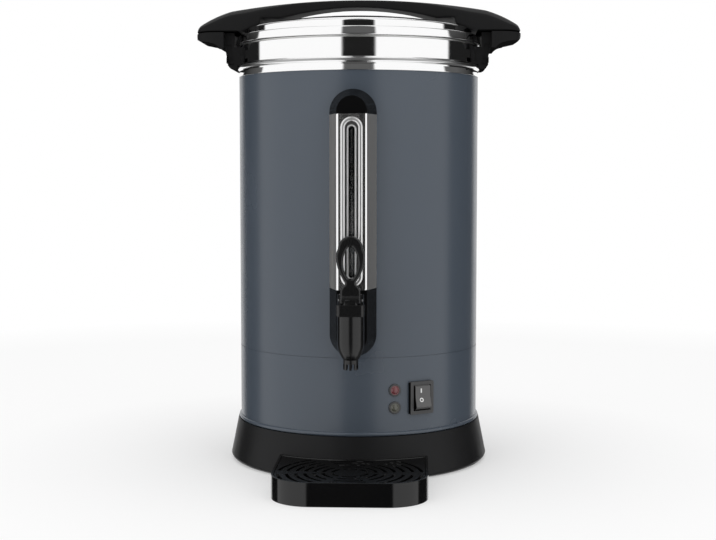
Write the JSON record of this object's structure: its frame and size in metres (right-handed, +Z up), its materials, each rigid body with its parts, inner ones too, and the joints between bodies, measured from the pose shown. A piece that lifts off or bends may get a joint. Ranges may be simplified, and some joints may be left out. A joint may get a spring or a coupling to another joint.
{
  "type": "coffee urn",
  "caption": "Double-walled percolating coffee urn: painted shell on a flared black base, polished lid under an arched bar, sight gauge with lever tap, rocker switch, lamps and drip tray.",
  "frame": {"origin": "centre of the face the urn stands on, on the axis of the shells", "axes": "+Z up along the axis of the shells, the tap and the gauge face -Y, the handles lie along X"},
  "size_m": [0.3254, 0.3515, 0.4612],
  "materials": {
    "base_black": "fine grained matte moulding",
    "fastener_steel": "plain zinc",
    "rubber_black": "matte",
    "slate_paint": "satin slate grey paint",
    "inner_black": "matte",
    "polished_steel": "mirror polished stainless steel",
    "tank_steel": "satin stainless steel",
    "heater_cast": "cast",
    "ceramic_white": "plain",
    "shield_aluminium": "mill finish",
    "column_black": "satin gloss",
    "brushed_cover": "satin steel finish",
    "bright_bezel": "bright plated",
    "clear_window": "clear moulded lens",
    "sight_glass": "clear tube",
    "block_natural": "plain",
    "silicone_red": "plain silicone",
    "tap_black": "satin gloss",
    "switch_black": "fine texture",
    "rocker_black": "satin with white I and O marks",
    "red_lens": "translucent lens",
    "green_lens": "translucent lens, unlit",
    "pin_plate": "plated",
    "handle_black": "satin moulding",
    "silicone_white": "plain silicone",
    "tray_black": "gloss moulding",
    "grate_black": "gloss moulding"
  },
  "bodies": {
    "urn": {"base_skirt": "base_black", "base_cover": "base_black", "base_screws": "fastener_steel", "rubber_feet": "rubber_black", "lower_shell": "slate_paint", "seam_ring": "inner_black", "upper_shell": "slate_paint", "collar": "polished_steel", "tank": "tank_steel", "pump_heater": "heater_cast", "warming_ring": "heater_cast", "thermostat": "ceramic_white", "thermal_cutout": "ceramic_white", "heat_shield": "shield_aluminium", "tie_rod": "fastener_steel", "tie_nut": "fastener_steel", "gauge_cap": "column_black", "gauge_cover": "brushed_cover", "gauge_bezel": "bright_bezel", "gauge_backing": "inner_black", "gauge_window": "clear_window", "lower_housing": "column_black", "gauge_block": "block_natural", "sight_tube": "sight_glass", "tube_seals": "silicone_red", "tap_body": "tap_black", "tap_bonnet": "tap_black", "tap_washers": "silicone_red", "tail_nut": "block_natural", "lever_pin": "fastener_steel", "valve_spring": "tank_steel", "switch_frame": "switch_black", "lamp_bezels": "switch_black", "red_lamp": "red_lens", "green_lamp": "green_lens", "inlet_housing": "switch_black", "inlet_pins": "pin_plate", "left_handle": "handle_black", "right_handle": "handle_black", "handle_screws": "fastener_steel"},
    "lid_seal": {"lid_seal": "silicone_white"},
    "lid": {"lid_cover": "polished_steel", "lid_liner": "tank_steel", "lid_bar": "handle_black", "lid_bar_screws": "fastener_steel"},
    "lever": {"tap_lever": "tap_black"},
    "valve": {"valve_stem": "tank_steel", "seat_cup": "silicone_red"},
    "rocker": {"switch_rocker": "rocker_black"},
    "tray": {"drip_pan": "tray_black"},
    "grate": {"drip_grate": "grate_black"},
    "riser": {"riser_tube": "tank_steel"},
    "pump_valve": {"pump_valve": "tank_steel"},
    "basket": {"coffee_basket": "tank_steel"},
    "basket_cover": {"basket_cover": "tank_steel"}
  },
  "joints": [
    {"name": "lid_lift", "type": "slide", "parent": "urn", "child": "lid_seal", "axis": [0, 0, 1], "range_m": [0, 0.12]},
    {"name": "lid_turn", "type": "hinge", "parent": "lid_seal", "child": "lid", "pos_m": [0, 0, 0.42], "axis": [0, 0, 1], "range_deg": [0, 10]},
    {"name": "tap_pull", "type": "hinge", "parent": "urn", "child": "lever", "pos_m": [0, -0.167, 0.1745], "axis": [1, 0, 0], "range_deg": [0, 40], "stiffness_Nm_per_rad": 0.12, "springref_deg": -11.46},
    {"name": "valve_lift", "type": "slide", "parent": "urn", "child": "valve", "axis": [0, 0, 1], "range_m": [0, 0.00322], "deforming": ["valve_spring"]},
    {"name": "switch_rock", "type": "hinge", "parent": "urn", "child": "rocker", "pos_m": [0.06148, -0.09954, 0.0766], "axis": [0.8508, 0.5255, 0], "range_deg": [0, 16]},
    {"name": "tray_slide", "type": "slide", "parent": "urn", "child": "tray", "axis": [0, -1, 0], "range_m": [0, 0.08]},
    {"name": "grate_lift", "type": "slide", "parent": "tray", "child": "grate", "axis": [0, 0, 1], "range_m": [0, 0.03]},
    {"name": "riser_lift", "type": "slide", "parent": "urn", "child": "riser", "axis": [0, 0, 1], "range_m": [0, 0.01]},
    {"name": "pump_valve_lift", "type": "slide", "parent": "riser", "child": "pump_valve", "axis": [0, 0, 1], "range_m": [0, 0.002]},
    {"name": "basket_lift", "type": "slide", "parent": "riser", "child": "basket", "axis": [0, 0, 1], "range_m": [0, 0.012]},
    {"name": "basket_cover_lift", "type": "slide", "parent": "basket", "child": "basket_cover", "axis": [0, 0, 1], "range_m": [0, 0.012]}
  ],
  "couplings": [
    {"joint": "valve_lift", "follows": "tap_pull", "m_per_rad": 0.004604}
  ]
}
